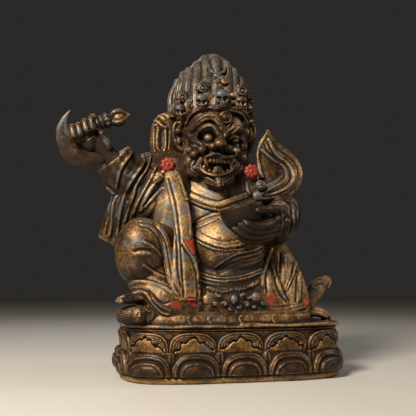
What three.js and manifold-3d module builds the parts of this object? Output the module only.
// A small cast and gilt bronze of a wrathful protector, seated on a prostrate body above a lotus plinth.
// Two castings: the lotus plinth, and the figure with the body it sits on, which rests on the plinth.
// Millimetres, +Z up, the figure faces -Y, the origin is the middle of the plinth's underside.
import * as THREE from "three";
import { mergeVertices } from "three/addons/utils/BufferGeometryUtils.js";
import Module from "manifold-3d";

const wasm = await Module();
wasm.setup();

// Driving dimensions of the plinth.
const PLINTH_LENGTH = 130;
const PLINTH_DEPTH = 86;
const PLAN_POWER = 3.8; // how square the oblong's corners are, 2 being an ellipse
const FOOT_BAND_HEIGHT = 3.5;
const FOOT_BAND_INSET = 3.4;
const LOWER_ROW_HEIGHT = 12.3;
const UPPER_ROW_HEIGHT = 10.6;
const UPPER_ROW_INSET = 2;
const RIM_HEIGHT = 1.1;
const RIM_INSET = 3;
const PETALS_AROUND = 16;
const PETAL_BULGE = 3;
const PLINTH_HEIGHT = FOOT_BAND_HEIGHT + LOWER_ROW_HEIGHT + UPPER_ROW_HEIGHT + RIM_HEIGHT;

// Driving dimensions of the figure's casting. Its pose and carving are shares of its own height.
const FIGURE_HEIGHT = 167.5;
const SEAT_CLEARANCE = 0.3; // between the two castings
const SEAT_PLATE_THICKNESS = 3;
const SEAT_PLATE_INSET = 2.4; // from the plinth's widest outline
const BODY_THICKNESS = 6.4; // of the body that lies on the plate, under the figure
const BODY_INSET = 6; // from the plate's edge
const FIGURE_ASIDE = 1.2; // how far the figure sits off the plinth's middle
const CUP_RADIUS = 12.2;
const CUP_DEPTH = 11.5;
const CUP_WALL = 1.8;
const BLADE_THICKNESS = 3;

// The casting is laid out on a figure 167.5 units tall that stands at height nought, and then cast to size.
const UNITS_TALL = 167.5;
const CAST_SCALE = FIGURE_HEIGHT / UNITS_TALL;
const SEAT_LEVEL = PLINTH_HEIGHT + SEAT_CLEARANCE;

const BRONZE = new THREE.MeshStandardMaterial({ color: 0x6b4a22, roughness: 0.42, metalness: 0.9 });
const GILT = new THREE.MeshStandardMaterial({ color: 0x8a6430, roughness: 0.38, metalness: 0.9 });

const TURN = 2 * Math.PI;
const range = (count) => Array.from({ length: count }, (_, i) => i);
const mix = THREE.MathUtils.lerp;
const ease = THREE.MathUtils.smoothstep;

// A closed geometry as a solid. Triangles that shrink to nothing at a pole are left out.
function solid(geometry) {
  const bare = geometry.index ? geometry.toNonIndexed() : geometry.clone();
  for (const name of Object.keys(bare.attributes)) {
    if (name !== "position") bare.deleteAttribute(name);
  }
  const merged = mergeVertices(bare, 1e-4);
  const index = merged.index.array;
  const kept = [];
  for (let i = 0; i < index.length; i += 3) {
    const [a, b, c] = index.slice(i, i + 3);
    if (a !== b && b !== c && c !== a) kept.push(a, b, c);
  }
  const build = (triangles) =>
    new wasm.Manifold(
      new wasm.Mesh({
        numProp: 3,
        vertProperties: merged.attributes.position.array,
        triVerts: new Uint32Array(triangles),
      }),
    );
  const made = build(kept);
  return made.volume() > 0 ? made : build(kept.reverse());
}

// A shape laid out in the figure's units, cast to size and set down on the plinth.
const cast = (geometry) =>
  solid(geometry.clone().scale(CAST_SCALE, CAST_SCALE, CAST_SCALE).translate(FIGURE_ASIDE, 0, SEAT_LEVEL));

const union = (solids) => solids.reduce((all, next) => all.add(next));

// A solid as a named mesh of the exported group.
function meshOf(name, shape, material) {
  const data = shape.getMesh();
  const geometry = new THREE.BufferGeometry();
  geometry.setAttribute("position", new THREE.BufferAttribute(data.vertProperties, data.numProp));
  geometry.setIndex(new THREE.BufferAttribute(data.triVerts, 1));
  geometry.computeVertexNormals();
  const mesh = new THREE.Mesh(geometry, material);
  mesh.name = name;
  return mesh;
}

// A closed skin over rings of points: each ring is a row, and each end closes on its own middle.
function skin(rings) {
  const count = rings[0].length;
  const middle = (ring) => ring.reduce((s, p) => s.add(p), new THREE.Vector3()).divideScalar(count);
  const cap = (ring) => new Array(count).fill(middle(ring));
  const rows = [cap(rings[0]), ...rings, cap(rings.at(-1))];
  const points = rows.flat().flatMap((p) => [p.x, p.y, p.z]);
  const index = [];
  for (let r = 0; r < rows.length - 1; r++) {
    for (let i = 0; i < count; i++) {
      const a = r * count + i;
      const b = r * count + ((i + 1) % count);
      index.push(a, b, a + count, b, b + count, a + count);
    }
  }
  const geometry = new THREE.BufferGeometry();
  geometry.setAttribute("position", new THREE.Float32BufferAttribute(points, 3));
  geometry.setIndex(index);
  return geometry;
}

// A rounded bar through stations of [x, y, z, half width, half depth]. Depth lies towards the front.
// The relief gives how far the skin swells at an angle from the front and at a share of the way along.
function limb(stations, { around = 16, rows = 6, front = [0, -1, 0], relief = () => 0 } = {}) {
  const path = new THREE.CatmullRomCurve3(stations.map(([x, y, z]) => new THREE.Vector3(x, y, z)));
  const sizes = new THREE.CatmullRomCurve3(stations.map(([, , , w, d]) => new THREE.Vector3(w, d, 0)));
  const rings = range(rows + 1).map((r) => {
    const share = r / rows;
    const centre = path.getPoint(share);
    const along = path.getTangent(share);
    const size = sizes.getPoint(share);
    const facing = new THREE.Vector3(...front).projectOnPlane(along).normalize();
    const side = new THREE.Vector3().crossVectors(along, facing);
    return range(around).map((i) => {
      const angle = (TURN * i) / around;
      const swell = 1 + relief(angle, share);
      return centre
        .clone()
        .addScaledVector(side, Math.sin(angle) * size.x * swell)
        .addScaledVector(facing, Math.cos(angle) * size.y * swell);
    });
  });
  return skin(rings);
}

// A ball or egg of three half sizes, turned about X, Y and Z in degrees.
function ball(place, halves, { turn = [0, 0, 0], sides = 10, rows = 7 } = {}) {
  const [x, y, z] = turn.map(THREE.MathUtils.degToRad);
  return new THREE.SphereGeometry(1, sides, rows)
    .rotateX(Math.PI / 2)
    .scale(...halves)
    .applyMatrix4(new THREE.Matrix4().makeRotationFromEuler(new THREE.Euler(x, y, z)))
    .translate(...place);
}

// A flat shape drawn in the upright plane, as thick as told, with its middle at depth y.
function slab(shape, y, thickness, curveSegments = 4) {
  return new THREE.ExtrudeGeometry(shape, { depth: thickness, bevelEnabled: false, curveSegments })
    .rotateX(Math.PI / 2)
    .translate(0, y + thickness / 2, 0);
}

// Ridges running along a limb, round on top with narrow valleys between.
const ridges = (count, height) => (angle) => height * (Math.abs(Math.cos((count * angle) / 2)) - 0.6);

// The plinth's plan: an oblong with power-curve corners, walked at an even pace from the front middle.
const PLAN_SAMPLES = 720;
function planWalk(length, depth) {
  const at = (t) => {
    const c = Math.cos(t);
    const s = Math.sin(t);
    const x = (length / 2) * Math.sign(s) * Math.abs(s) ** (2 / PLAN_POWER);
    const y = (-depth / 2) * Math.sign(c) * Math.abs(c) ** (2 / PLAN_POWER);
    return new THREE.Vector2(x, y);
  };
  const points = range(PLAN_SAMPLES + 1).map((i) => at((TURN * i) / PLAN_SAMPLES));
  const walked = [0];
  for (let i = 1; i < points.length; i++) walked.push(walked[i - 1] + points[i].distanceTo(points[i - 1]));
  const total = walked.at(-1);
  const stand = (share) => {
    const goal = (share - Math.floor(share)) * total;
    const i = Math.max(1, walked.findIndex((w) => w >= goal));
    const part = (goal - walked[i - 1]) / (walked[i] - walked[i - 1] || 1);
    const point = points[i - 1].clone().lerp(points[i], part);
    const along = points[i].clone().sub(points[i - 1]).normalize();
    return { point, out: new THREE.Vector2(along.y, -along.x) };
  };
  return { total, stand };
}

// A ring of points at one height, stepped out from a plan by a distance.
const planRing = (plan, columns, out, z) =>
  range(columns).map((i) => {
    const at = plan.stand(i / columns);
    return new THREE.Vector3(at.point.x + at.out.x * out, at.point.y + at.out.y * out, z);
  });

// The plinth: a moulded core with a low foot band, two rows of lotus petals and a thin rim.
function lotusPlinth() {
  const plan = planWalk(PLINTH_LENGTH - 2 * PETAL_BULGE, PLINTH_DEPTH - 2 * PETAL_BULGE);
  const lowerTop = FOOT_BAND_HEIGHT + LOWER_ROW_HEIGHT;
  const upperTop = lowerTop + UPPER_ROW_HEIGHT;
  const bandOut = PETAL_BULGE - FOOT_BAND_INSET;
  const rimOut = PETAL_BULGE - RIM_INSET;
  const bandSwell = 0.4;
  const step = 0.4; // the height over which a row's foot steps out from what is below it
  const columnsPerPetal = 4;
  const columns = PETALS_AROUND * columnsPerPetal;
  // A petal is a round-headed arch: its swell falls to nothing at its sides and over its top.
  const swell = (i, up) => {
    const across = ((i % columnsPerPetal) / columnsPerPetal) * 2 - 1;
    return Math.sqrt(Math.max(0, 1 - Math.abs(across) ** 2.6 - up ** 2.4));
  };
  const rings = [
    { z: 0, out: bandOut + bandSwell },
    { z: FOOT_BAND_HEIGHT, out: bandOut },
    ...[0, 0.45, 0.78, 0.98].map((up) => ({
      z: FOOT_BAND_HEIGHT + step + up * (LOWER_ROW_HEIGHT - step),
      out: -0.3,
      up,
    })),
    { z: lowerTop, out: -UPPER_ROW_INSET },
    ...[0.15, 0.6, 0.96].map((up) => ({ z: lowerTop + up * UPPER_ROW_HEIGHT, out: -UPPER_ROW_INSET, up })),
    { z: upperTop + RIM_HEIGHT * 0.3, out: rimOut },
    { z: PLINTH_HEIGHT, out: rimOut },
  ].map(({ z, out, up }) =>
    range(columns).map((i) => {
      const at = plan.stand((i - columnsPerPetal / 2) / columns);
      const reach = out + (up === undefined ? 0 : PETAL_BULGE * swell(i, up));
      return new THREE.Vector3(at.point.x + at.out.x * reach, at.point.y + at.out.y * reach, z);
    }),
  );
  return solid(skin(rings));
}

// The plate under the figure, and on it the trunk of the body that the figure sits on.
// Both follow the plinth's outline, and the plate lies flat on its top.
function seat() {
  const plan = planWalk(PLINTH_LENGTH - 2 * SEAT_PLATE_INSET, PLINTH_DEPTH - 2 * SEAT_PLATE_INSET);
  const columns = PETALS_AROUND * 2;
  const plateTop = SEAT_LEVEL + SEAT_PLATE_THICKNESS;
  const lip = SEAT_PLATE_THICKNESS / 3;
  return solid(
    skin([
      planRing(plan, columns, -lip, SEAT_LEVEL),
      planRing(plan, columns, 0, SEAT_LEVEL + lip),
      planRing(plan, columns, -lip, plateTop),
      planRing(plan, columns, -BODY_INSET, plateTop),
      planRing(plan, columns, -BODY_INSET + lip, plateTop + BODY_THICKNESS * 0.5),
      planRing(plan, columns, -BODY_INSET - lip * 3, plateTop + BODY_THICKNESS),
    ]),
  );
}

// What shows of the body that lies under the figure: its head to one side, and two feet at the other.
function prostrateBody() {
  const hairLines = (angle) => 0.05 * Math.cos(6 * angle);
  return [
    ball([-55, -25, 8.4], [12, 10.5, 6.4], { sides: 8, rows: 5 }),
    limb([[-52, -26, 8, 7, 7], [-60, -26, 8, 7.2, 7], [-68, -25, 7.4, 5.4, 5.6]], {
      around: 12,
      rows: 1,
      front: [0, 0, 1],
      relief: hairLines,
    }),
    limb([[40, 4, 10, 6, 6], [52, 2, 15, 5.6, 5], [61, 0, 23, 5, 3.8]], { around: 6, rows: 2 }),
    ball([62, 0, 24], [2.6, 5.4, 3], { sides: 6, rows: 4 }),
    limb([[40, -14, 7, 5, 4], [52, -12, 7.4, 4.6, 3.6], [60.5, -9, 5.6, 3.2, 2.4]], { around: 6, rows: 2 }),
  ];
}

// The robe over the lap and the trunk up to the shoulders, with hanging folds below the belt.
function trunkAndRobe() {
  const folds = (angle, share) => 0.05 * Math.cos(8 * angle) * (1 - ease(share, 0.2, 0.42));
  const sag = (x) => (x + 4) ** 2;
  return [
    limb(
      [
        [-5, -3, 4, 44, 31],
        [-5, -3, 12, 47, 32.5],
        [-5, -2, 25, 42, 29.5],
        [-4, 0, 38, 34.5, 25],
        [-3, 1, 52, 29.5, 22.5],
        [-5, -1, 66, 29, 22.5],
        [-8, 1, 80, 30, 18],
        [-10, 3, 91, 27, 14.5],
        [-10, 3, 98, 16, 11],
      ],
      { around: 24, rows: 5, relief: folds },
    ),
    ball([-6, -12, 43], [24, 23, 22], { sides: 9, rows: 6 }),
    limb(
      [
        [-27, -27.5, 30, 2, 2.4],
        [-16, -34.6, 25, 2.4, 2.4],
        [-5, -37.6, 23.5, 2.4, 2.4],
        [6, -34.6, 25.5, 2.4, 2.4],
        [17, -27, 30, 2, 2.4],
      ],
      { around: 4, rows: 4 },
    ),
    ...range(6).map((i) => {
      const x = mix(-20, 12, i / 5);
      return ball([x, -34.6 + 0.018 * sag(x), 19 + 0.012 * sag(x)], [2.8, 2, 2], { sides: 4, rows: 3 });
    }),
    ...[-16, -4, 9].map((x) =>
      ball([x, -35.4 + 0.014 * sag(x), 12.6], [3, 2.6, 4.4], { sides: 5, rows: 3 }),
    ),
  ];
}

// The right leg, knee raised, the foot on the prostrate body's head, and the left leg folded under cloth.
function legs() {
  const creases = (angle, share) => 0.05 * Math.cos(4 * angle) * share;
  return [
    limb([[-16, 2, 30, 17, 17], [-36, -8, 40, 16, 16], [-48, -18, 44, 14, 14]], { around: 8, rows: 1 }),
    ball([-54.5, -21, 40.5], [14.6, 14, 19], { sides: 10, rows: 6 }),
    limb([[-50, -19, 34, 10, 12], [-47, -21, 22, 12, 11], [-42, -24, 12, 17, 9]], {
      around: 12,
      rows: 2,
      relief: creases,
    }),
    limb([[-59, -23, 25, 5, 5], [-51, -28, 20, 9, 5], [-40, -32, 13, 10, 5], [-28, -32, 8, 8, 4]], {
      around: 8,
      rows: 3,
    }),
    ball([-58.5, -23, 15], [8.6, 10, 4], { sides: 7, rows: 4 }),
    ...range(5).map((toe) =>
      ball([-65 + 3.5 * toe, -28 - 1.1 * toe, 15 + 0.2 * toe], [2.1, 3, 2], { sides: 4, rows: 3 }),
    ),
    limb([[18, 0, 48, 15, 15], [27, -6, 32, 16, 19], [31, -9, 16, 16, 22], [31, -9, 7, 15, 21]], {
      around: 21,
      rows: 3,
      relief: (angle, share) => 0.06 * Math.cos(7 * angle) * ease(share, 0.1, 0.5),
    }),
  ];
}

// The raised right arm: a wide sleeve that hangs in long grooves, and a bare wrist.
function rightArm() {
  return [
    limb(
      [
        [-30, 2, 88, 16, 13],
        [-48, 0, 83, 17, 12],
        [-60, -4, 84, 14, 11.5],
        [-70, -7, 94.5, 11, 10.5],
      ],
      { around: 16, rows: 3, relief: ridges(8, 0.1) },
    ),
    limb(
      [
        [-45, 0, 84, 18, 12],
        [-53, 0, 71, 17, 9.5],
        [-61, 0, 60, 13, 7.5],
        [-69, 0, 45.5, 9, 4.5],
      ],
      { around: 18, rows: 3, relief: ridges(9, 0.16) },
    ),
    limb([[-32, 0, 90, 11, 14], [-35, -4, 70, 13, 16], [-36, -6, 46, 12, 16]], { around: 7, rows: 1 }),
    limb([[-68, -7, 92, 6.4, 6], [-80, -9.5, 108, 5.6, 5.4]], { around: 7, rows: 1 }),
  ];
}

// The fist, the chopper's crescent blade under it, and the half thunderbolt that ends its handle.
function chopper() {
  const handleStart = [-98, -11, 104.5];
  const handleEnd = [-80, -10, 112.5];
  const handleRise = Math.atan2(handleEnd[2] - handleStart[2], handleEnd[0] - handleStart[0]);
  const along = (share) => handleStart.map((v, i) => mix(v, handleEnd[i], share));
  const blade = new THREE.Shape();
  blade.moveTo(-93.6, 121.5);
  blade.bezierCurveTo(-103, 114, -105.5, 98, -96, 91);
  blade.bezierCurveTo(-89, 86, -79, 87.5, -75.5, 93.5);
  blade.lineTo(-80, 104);
  blade.lineTo(-95, 103);
  blade.bezierCurveTo(-97, 109, -96.5, 115, -93.6, 121.5);
  const boltProfile = [[0, 0], [2.4, 0], [2.4, 2.4], [3.6, 3.6], [2.2, 6], [4.2, 10.5], [1.8, 16], [0, 20]];
  const bolt = new THREE.LatheGeometry(boltProfile.map(([r, z]) => new THREE.Vector2(r, z)), 6)
    .rotateX(Math.PI / 2)
    .rotateY(Math.PI / 2 - handleRise)
    .translate(-81.5, -10, 111.8);
  const tilt = [0, -THREE.MathUtils.radToDeg(handleRise), 0];
  return [
    slab(blade, -9.5, BLADE_THICKNESS / CAST_SCALE, 3),
    ball([-86.5, -8, 106.5], [8.4, 5.6, 6.4], { turn: tilt, sides: 7, rows: 4 }),
    ...range(4).map((i) => {
      const [x, y, z] = along(0.08 + 0.27 * i);
      return ball([x, y - 1.4, z], [2.3, 4.4, 5.4], { turn: tilt, sides: 5, rows: 3 });
    }),
    ball([-82.5, -12, 116.2], [2.7, 2.7, 2.4], { sides: 5, rows: 3 }),
    limb([[-84, -11, 108, 2.6, 2.6], [-83, -12, 115, 2.4, 2.4]], { around: 6, rows: 1 }),
    bolt,
  ];
}

// The left arm: a round sleeve with folds about the elbow, and a hand that holds the cup from below.
function leftArm() {
  const folds = (angle, share) => 0.07 * Math.cos(22 * share + 1.5 * Math.sin(angle));
  return [
    limb(
      [
        [14, 0, 90, 14, 13],
        [26, -5, 78, 14, 14],
        [32, -10, 63, 12.5, 14.5],
        [26, -18, 54, 12, 12.5],
        [15, -27, 54, 9, 9.5],
      ],
      { around: 9, rows: 7, relief: folds },
    ),
    limb([[19, -25, 55, 5.6, 5.6], [10, -31, 56, 5, 4.6], [2, -33, 56, 4.6, 3.6]], { around: 7, rows: 1 }),
    ...range(3).map((i) => {
      const knuckle = [3.5 - i, -32 - 2.8 * i, 58 - 2.4 * i, 2.1, 2.1];
      const middle = [-4 - i, -37, 56 - 2.4 * i, 2, 2];
      const tip = [-11.5, -36.5 + i, 57 - 2.4 * i, 1.7, 1.7];
      return limb([knuckle, middle, tip], { around: 5, rows: 2 });
    }),
    limb([[11, -32, 57, 2.4, 2.4], [9, -40, 62, 2.2, 2.2], [7, -44, 67, 1.8, 1.8]], {
      around: 5,
      rows: 2,
    }),
  ];
}

// The cup in the left hand: a real bowl with a wall of one thickness, tipped to one side.
function skullCup() {
  const steps = 4;
  const bowl = (radius, depth, rim) =>
    new THREE.LatheGeometry(
      range(steps + 1)
        .map((i) => {
          const rise = (Math.PI / 2) * (i / steps);
          return new THREE.Vector2(radius * Math.sin(rise), -depth * Math.cos(rise));
        })
        .concat([new THREE.Vector2(radius, rim), new THREE.Vector2(0, rim)]),
      14,
    ).rotateX(Math.PI / 2);
  const settle = (geometry) =>
    solid(
      geometry
        .rotateY(THREE.MathUtils.degToRad(-14))
        .rotateX(THREE.MathUtils.degToRad(4))
        .translate(FIGURE_ASIDE - 1.5 * CAST_SCALE, -33 * CAST_SCALE, 65.5 * CAST_SCALE + SEAT_LEVEL),
    );
  return {
    outside: settle(bowl(CUP_RADIUS, CUP_DEPTH, 0)),
    inside: settle(bowl(CUP_RADIUS - CUP_WALL, CUP_DEPTH - CUP_WALL, CUP_DEPTH)),
  };
}

// The collar, the crossing robe edges and the scarf that stands up from the left shoulder.
function collarAndScarf() {
  const flame = new THREE.Shape();
  flame.moveTo(15, 78);
  flame.bezierCurveTo(30, 78, 48, 84, 44.5, 94);
  flame.bezierCurveTo(42, 103, 28, 106, 22.5, 117);
  flame.bezierCurveTo(15, 112, 14, 100, 20, 93);
  flame.bezierCurveTo(22, 88, 14, 86, 15, 78);
  const collar = [
    [-32, -10, 87, 2.4, 2.4],
    [-24, -19.5, 73, 2.4, 2.4],
    [-9, -25, 66.5, 2.4, 2.4],
    [5, -21, 71, 2.4, 2.4],
    [13, -11, 84, 2.4, 2.4],
  ];
  const robeEdge = [
    [-32, -8, 92, 5, 3],
    [-32, -20, 76, 5.4, 3.4],
    [-30, -26, 58, 5.4, 3.4],
    [-28, -31, 38, 5, 3.4],
    [-26, -34, 12, 5, 3.4],
  ];
  const scarfEdge = [
    [16, -9, 81, 3.4, 4.4],
    [32, -10, 84, 3.6, 4.6],
    [41.5, -10, 93, 3.2, 4.4],
    [34, -10, 104, 3, 4.2],
    [23, -9.5, 115, 1.8, 3],
  ];
  return [
    limb(collar, { around: 5, rows: 5 }),
    limb(robeEdge, { around: 5, rows: 4 }),
    slab(flame, -9, 5, 3),
    limb(scarfEdge, { around: 5, rows: 6 }),
  ];
}

// The head: a broad mask with brows like flames, three round eyes and a snarling mouth.
function head() {
  const mouth = [-10.6, -23, 90.4];
  const arch = (side, rise) =>
    limb(
      [
        [-9.6 + side * 2.6, -23.6, 107 + rise * 0.2, 1.5, 2],
        [-9.6 + side * 7.6, -22.8, 111.6 + rise, 2, 2.4],
        [-9.6 + side * 13.4, -18.8, 111.4 + rise, 1.9, 2.4],
        [-9.6 + side * 18.2, -13, 106 + rise, 1.3, 1.8],
      ],
      { around: 4, rows: 4 },
    );
  const lips = range(12).map((i) => {
    const a = (TURN * i) / 12;
    return new THREE.Vector3(
      mouth[0] + 9.2 * Math.cos(a),
      mouth[1] - 2.2 + 3.4 * Math.cos(a) ** 2,
      mouth[2] + (Math.sin(a) > 0 ? 4.4 : 5.8) * Math.sin(a),
    );
  });
  const lipSection = new THREE.Shape().absellipse(0, 0, 1.4, 1.4, 0, TURN);
  const lipRing = new THREE.ExtrudeGeometry(lipSection, {
    extrudePath: new THREE.CatmullRomCurve3(lips, true),
    steps: 10,
    curveSegments: 2,
  });
  const eye = (x, y, z, size) => ball([x, y, z], [size, size * 0.9, size * 0.85], { sides: 6, rows: 5 });
  const cheeks = (angle, share) => {
    const aside = (Math.abs(angle - Math.PI) - 2.35) / 0.3;
    const above = (share - 0.5) / 0.1;
    return 0.16 * Math.exp(-(aside ** 2) - above ** 2);
  };
  const ear = (x, y) => ball([x, y, 105], [2.6, 4.6, 8.6], { sides: 5, rows: 3 });
  return [
    limb(
      [
        [-9.5, -11, 78.4, 8, 7],
        [-9, -8, 84, 16.5, 14.5],
        [-8.4, -4, 92, 21, 19.5],
        [-8, -2, 101, 22.6, 21.5],
        [-8, -1.5, 110, 22.8, 21.5],
        [-8, -1, 119, 22, 20],
      ],
      { around: 16, rows: 6, relief: cheeks },
    ),
    arch(-1, 0),
    arch(1, 0.8),
    eye(-18.2, -20.2, 105.6, 4.3),
    eye(-1.2, -20.6, 106.2, 4.2),
    eye(-9, -23, 113.5, 3),
    limb(
      [
        [-9.6, -21, 107, 2.6, 3],
        [-10, -25.5, 101, 3.4, 3.4],
        [-10.2, -26.5, 97, 5.6, 4.2],
        [-10.2, -24, 94.6, 5, 3],
      ],
      { around: 7, rows: 3 },
    ),
    lipRing,
    ...[-6, 6].map((x) =>
      ball([mouth[0] + x, mouth[1] - 1.6, mouth[2] + 2], [1.6, 1.4, 3], { sides: 4, rows: 3 }),
    ),
    limb([[-10.2, -19, 82.5, 5.6, 3.6], [-10, -20.5, 79, 3.6, 3], [-9.8, -21.5, 75.6, 1, 1]], {
      around: 5,
      rows: 2,
    }),
    ear(-32.4, -2),
    ear(15.8, -1),
  ];
}

// The eight petalled flowers that hang at the ears, and the ribbons that fan out behind them.
function earOrnaments() {
  const flower = (x, y, z) => {
    const outline = new THREE.Shape();
    range(16).forEach((i) => {
      const radius = i % 2 ? 2.7 : 4;
      const a = (TURN * i) / 16;
      const point = [x + radius * Math.cos(a), z + radius * Math.sin(a)];
      if (i === 0) outline.moveTo(...point);
      else outline.lineTo(...point);
    });
    return slab(outline, y, 2.6);
  };
  const pleats = { around: 10, rows: 2, relief: ridges(5, 0.2) };
  const rightFan = [
    [-30, 2, 126, 5, 3.4],
    [-37, 3.5, 121, 9, 4.2],
    [-38, 4, 110, 9.4, 4.6],
    [-37, 4, 96, 8.6, 4.2],
  ];
  const leftFan = [
    [11, 10, 125, 4, 4],
    [13, 14, 118, 4, 9],
    [13, 14, 108, 4, 9.4],
    [12, 13, 96, 4, 8.6],
  ];
  return [flower(-38.2, -10, 89), flower(11.6, -14, 86.4), limb(rightFan, pleats), limb(leftFan, pleats)];
}

// The hair: a tall flame of upswept locks, with a moon and sun at its front.
function hair() {
  const locks = (angle, share) =>
    0.1 * (Math.abs(Math.cos(7 * angle)) - 0.6) * ease(share, 0, 0.2) * (1 + 0.5 * share);
  return [
    limb(
      [
        [-8.2, -1, 118.2, 24.4, 22.8],
        [-8.8, 0, 125, 26, 23],
        [-10.2, 2, 134, 25.8, 22],
        [-10.6, 3, 145, 22.4, 19],
        [-10, 4, 154, 17.4, 14.5],
        [-9, 5, 162, 10.4, 8.6],
        [-8, 5, 167, 2.4, 2.4],
      ],
      { around: 42, rows: 4, relief: locks },
    ),
    limb([[-12.6, -13, 151, 1.2, 1.4], [-9.2, -16.4, 147.4, 1.6, 1.8], [-5.8, -13, 151, 1.2, 1.4]], {
      around: 5,
      rows: 2,
    }),
    ball([-9.2, -14, 152], [2, 1.8, 2.2], { sides: 6, rows: 4 }),
  ];
}

// The crown: five skulls in a row on the band that holds the hair, each under a flower.
function crown() {
  const skulls = 5;
  return range(skulls).flatMap((i) => {
    const swing = THREE.MathUtils.degToRad(mix(-64, 60, i / (skulls - 1)));
    const big = i === 2 ? 1.2 : 1;
    const x = -9 + 24 * Math.sin(swing);
    const y = -1 - 23.6 * Math.cos(swing);
    const z = 124 + 4.5 * Math.cos(swing) ** 2;
    return [
      ball([x, y, z - big], [3.2 * big, 3.2, 4.6 * big], { sides: 6, rows: 4 }),
      ball([x, y * 0.95, z + 7.4 * big], [3.4 * big, 2.4, 4 * big], { sides: 5, rows: 3 }),
    ];
  });
}

// The back: a shoulder cape in long folds, and the tied ends of the crown's ribbon.
function back() {
  const tail = (x, lean) =>
    limb([[x, 23, 120, 3, 2], [x + lean, 24.5, 108, 4.6, 1.8], [x + 1.7 * lean, 24, 97, 5.6, 1.8]], {
      around: 5,
      rows: 2,
    });
  const cape = [
    [-9, 12, 92, 22, 8],
    [-8, 16, 76, 27, 8],
    [-7, 19, 56, 29, 9],
    [-6, 22, 34, 33, 10],
    [-6, 24, 12, 35, 8],
  ];
  const folds = (angle, share) => 0.18 * Math.cos(7 * angle) * ease(share, 0.1, 0.6);
  return [
    limb(cape, { around: 21, rows: 3, front: [0, 1, 0], relief: folds }),
    ball([-8.5, 22.5, 122], [6.5, 4.5, 5], { sides: 7, rows: 5 }),
    tail(-10, -3),
    tail(-7, 3),
  ];
}

// The figure's casting: every free form joined to the seat, and the cup's bowl cut out.
function mahakalaFigure() {
  const cup = skullCup();
  const forms = [
    prostrateBody,
    trunkAndRobe,
    legs,
    rightArm,
    chopper,
    leftArm,
    collarAndScarf,
    head,
    earOrnaments,
    hair,
    crown,
    back,
  ].flatMap((form) => form());
  return union([seat(), ...forms.map(cast), cup.outside]).subtract(cup.inside);
}

const group = new THREE.Group();
group.add(meshOf("lotus_plinth", lotusPlinth(), BRONZE));
group.add(meshOf("mahakala_figure", mahakalaFigure(), GILT));

export default group;
